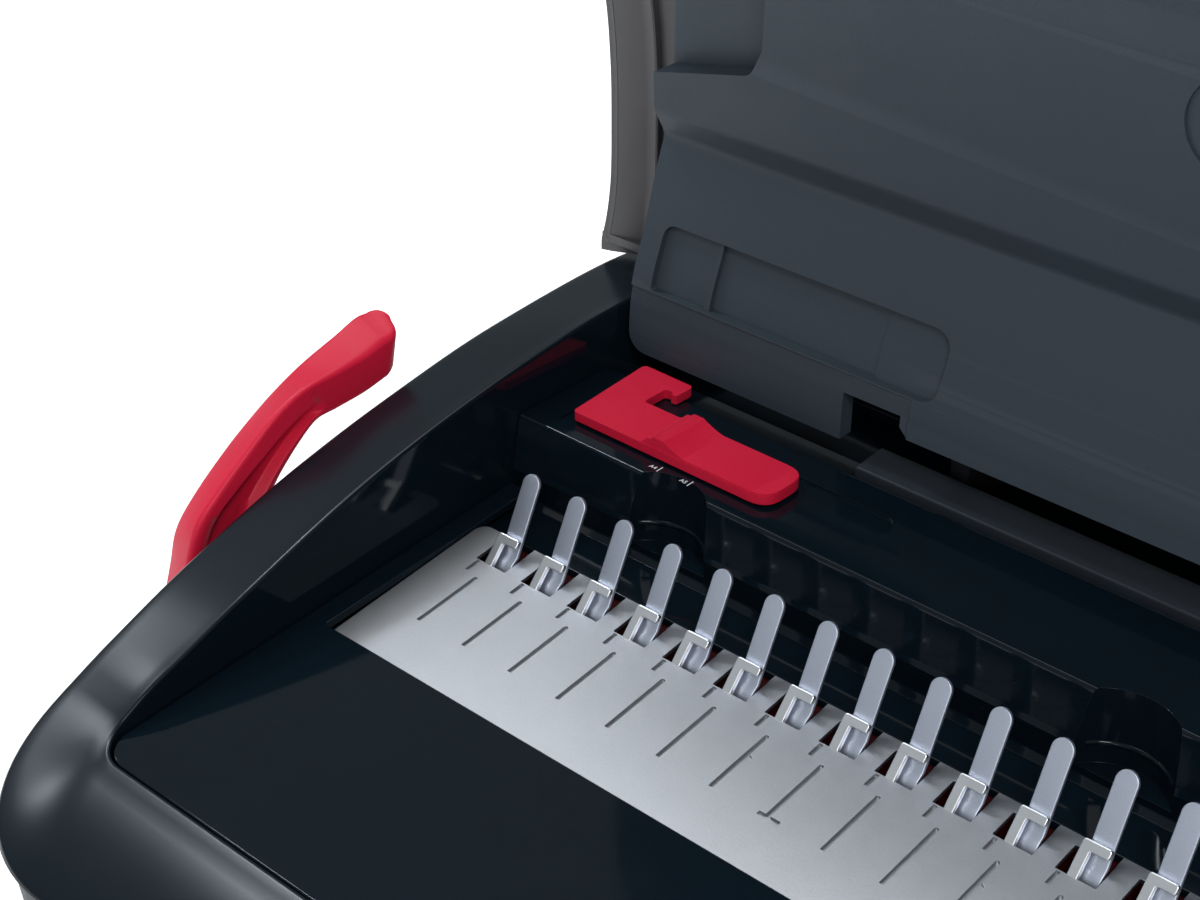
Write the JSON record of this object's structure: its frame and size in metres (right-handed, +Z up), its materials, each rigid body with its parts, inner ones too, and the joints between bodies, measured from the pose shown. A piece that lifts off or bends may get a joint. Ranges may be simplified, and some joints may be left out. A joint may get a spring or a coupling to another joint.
{
  "type": "comb binding machine",
  "caption": "Manual comb binding machine with a raised lid, one side lever, a row of blades and hooks, a hidden punch and a chip drawer.",
  "frame": {"origin": "middle of the whole machine's footprint, on the table the rubber feet stand on", "axes": "+X along the row of blades, away from the lever; +Y from the user to the rear; +Z up"},
  "size_m": [0.3944, 0.256, 0.298],
  "materials": {
    "gloss_black": "polished ABS",
    "matte_black": "fine-grained ABS",
    "red": "moulded, semi-gloss",
    "slate": "fine-grained satin",
    "warm_grey": "satin",
    "satin_steel": "satin, fine grain",
    "zinc_steel": "zinc plated",
    "ground_steel": "ground",
    "nylon": "moulded nylon",
    "rubber": "matte"
  },
  "bodies": {
    "base": {"upper_casing": "gloss_black", "front_deck": "gloss_black", "punch_cover": "gloss_black", "paper_back_guide": "gloss_black", "throat_ledge": "gloss_black", "lid_well": "gloss_black", "lower_casing": "matte_black", "hinge_bracket_left": "matte_black", "hinge_bracket_right": "matte_black", "blade_holder": "red", "blade_comb": "satin_steel", "side_frame_left": "zinc_steel", "side_frame_right": "zinc_steel", "pin_guide": "zinc_steel", "punch_die": "zinc_steel", "paper_depth_stop": "zinc_steel", "guide_rail": "zinc_steel", "hinge_pin_left": "ground_steel", "hinge_pin_right": "ground_steel", "return_spring": "ground_steel", "base_screw_1": "ground_steel", "base_screw_2": "ground_steel", "base_screw_3": "ground_steel", "base_screw_4": "ground_steel", "opener_rail_left": "nylon", "opener_rail_right": "nylon", "shaft_bush_left": "nylon", "shaft_bush_right": "nylon", "rubber_foot_1": "rubber", "rubber_foot_2": "rubber", "rubber_foot_3": "rubber", "rubber_foot_4": "rubber"},
    "lever": {"lever": "red", "lever_washer": "ground_steel", "lever_screw": "ground_steel", "main_shaft": "ground_steel", "opener_pinion_left": "nylon", "opener_pinion_right": "nylon", "punch_pinion_left": "ground_steel", "punch_pinion_right": "ground_steel"},
    "opener": {"opener_plate": "satin_steel", "opener_carriage": "matte_black", "opener_rack_left": "nylon", "opener_rack_right": "nylon"},
    "punch": {"punch_bar": "zinc_steel", "punch_rack_left": "zinc_steel", "punch_rack_right": "zinc_steel"},
    "lid": {"lid_outer_shell": "warm_grey", "lid_inner_panel": "slate", "lid_hinge_arm_left": "slate", "lid_hinge_arm_right": "slate"},
    "guide": {"edge_guide": "red"},
    "drawer": {"chip_drawer": "matte_black"}
  },
  "joints": [
    {"name": "lever_swing", "type": "hinge", "parent": "base", "child": "lever", "pos_m": [-0.1868, -0.046, 0.042], "axis": [1, 0, 0], "range_deg": [0, 78], "stiffness_Nm_per_rad": 0.12, "springref_deg": -17.19},
    {"name": "opener_slide", "type": "slide", "parent": "base", "child": "opener", "axis": [0, -0.9934, -0.1149], "range_m": [0, 0.0164]},
    {"name": "punch_slide", "type": "slide", "parent": "base", "child": "punch", "axis": [0, 1, 0], "range_m": [0, 0.0102]},
    {"name": "lid_hinge", "type": "hinge", "parent": "base", "child": "lid", "pos_m": [0.0082, 0.076, 0.104], "axis": [1, 0, 0], "range_deg": [0, 96]},
    {"name": "guide_slide", "type": "slide", "parent": "base", "child": "guide", "axis": [1, 0, 0], "range_m": [0, 0.0092]},
    {"name": "drawer_slide", "type": "slide", "parent": "base", "child": "drawer", "axis": [0, 1, 0], "range_m": [0, 0.05]}
  ],
  "couplings": [
    {"joint": "lever_swing", "follows": "punch_slide", "rad_per_m": 133.33},
    {"joint": "opener_slide", "follows": "punch_slide", "ratio": 1.6}
  ]
}
